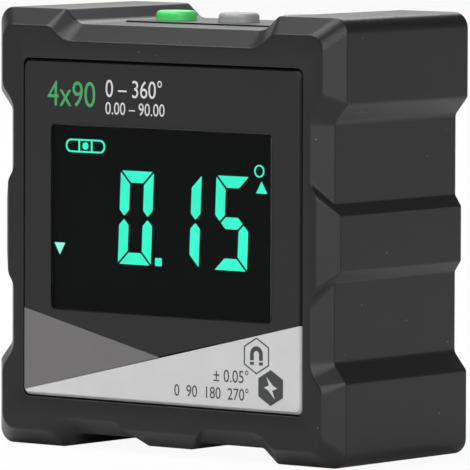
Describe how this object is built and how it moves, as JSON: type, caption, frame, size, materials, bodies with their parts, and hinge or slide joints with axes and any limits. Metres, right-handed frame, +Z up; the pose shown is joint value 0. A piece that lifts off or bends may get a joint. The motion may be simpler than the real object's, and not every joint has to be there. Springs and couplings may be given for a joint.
{
  "type": "digital angle gauge",
  "caption": "Square digital angle gauge with notched, chamfered magnetic edges, a lit display in a printed front panel and push keys in a recess along its top.",
  "frame": {"origin": "centre of the footprint, on the plane of the feet", "axes": "+Z up, the display faces -Y, +X to the right of someone reading the display"},
  "size_m": [0.06, 0.0296, 0.06],
  "materials": {
    "body_plastic": "fine moulded texture",
    "panel_print": "printed polycarbonate",
    "clear_lens": "polished",
    "lit_figures": "lit",
    "display_glass": "polished",
    "white_plastic": "moulded",
    "milky_plastic": "translucent",
    "seal_rubber": "moulded",
    "board_green": "solder resist",
    "chip_black": "moulded",
    "small_part_tan": "fired",
    "lamp_yellow": "cast",
    "steel": "plated",
    "dark_steel": "blackened",
    "cell_foil": "foil",
    "lead_red": "extruded",
    "foam": "foamed",
    "green_plastic": "moulded",
    "grey_plastic": "moulded",
    "cream_plastic": "moulded",
    "magnet": "nickel plated"
  },
  "bodies": {
    "case": {"housing": "body_plastic", "front_panel": "panel_print", "display_lens": "clear_lens", "lcd_segments": "lit_figures", "lcd_glass": "display_glass", "lcd_holder": "white_plastic", "contact_strips": "seal_rubber", "light_guide": "milky_plastic", "backlight_leds": "lamp_yellow", "main_board": "board_green", "board_screws": "steel", "microcontroller": "chip_black", "tilt_sensor": "chip_black", "charger_chip": "chip_black", "small_parts": "small_part_tan", "charging_socket": "steel", "battery": "cell_foil", "battery_leads": "lead_red", "battery_pad": "foam", "key_plate": "body_plastic", "key_seal": "seal_rubber", "key_switches": "chip_black", "left_magnets": "magnet", "right_magnets": "magnet", "top_magnets": "magnet", "bottom_magnets": "magnet", "rear_cover": "body_plastic", "cover_seal": "seal_rubber", "cover_screws": "dark_steel"},
    "green_key_body": {"green_key": "green_plastic", "green_plunger": "cream_plastic"},
    "centre_key_body": {"centre_key": "grey_plastic", "centre_plunger": "cream_plastic"},
    "right_key_body": {"right_key": "grey_plastic", "right_plunger": "cream_plastic"}
  },
  "joints": [
    {"name": "green_key_press", "type": "slide", "parent": "case", "child": "green_key_body", "axis": [0, 0, -1], "range_m": [0, 0.0005], "stiffness_N_per_m": 400},
    {"name": "centre_key_press", "type": "slide", "parent": "case", "child": "centre_key_body", "axis": [0, 0, -1], "range_m": [0, 0.0005], "stiffness_N_per_m": 400},
    {"name": "right_key_press", "type": "slide", "parent": "case", "child": "right_key_body", "axis": [0, 0, -1], "range_m": [0, 0.0005], "stiffness_N_per_m": 400}
  ]
}
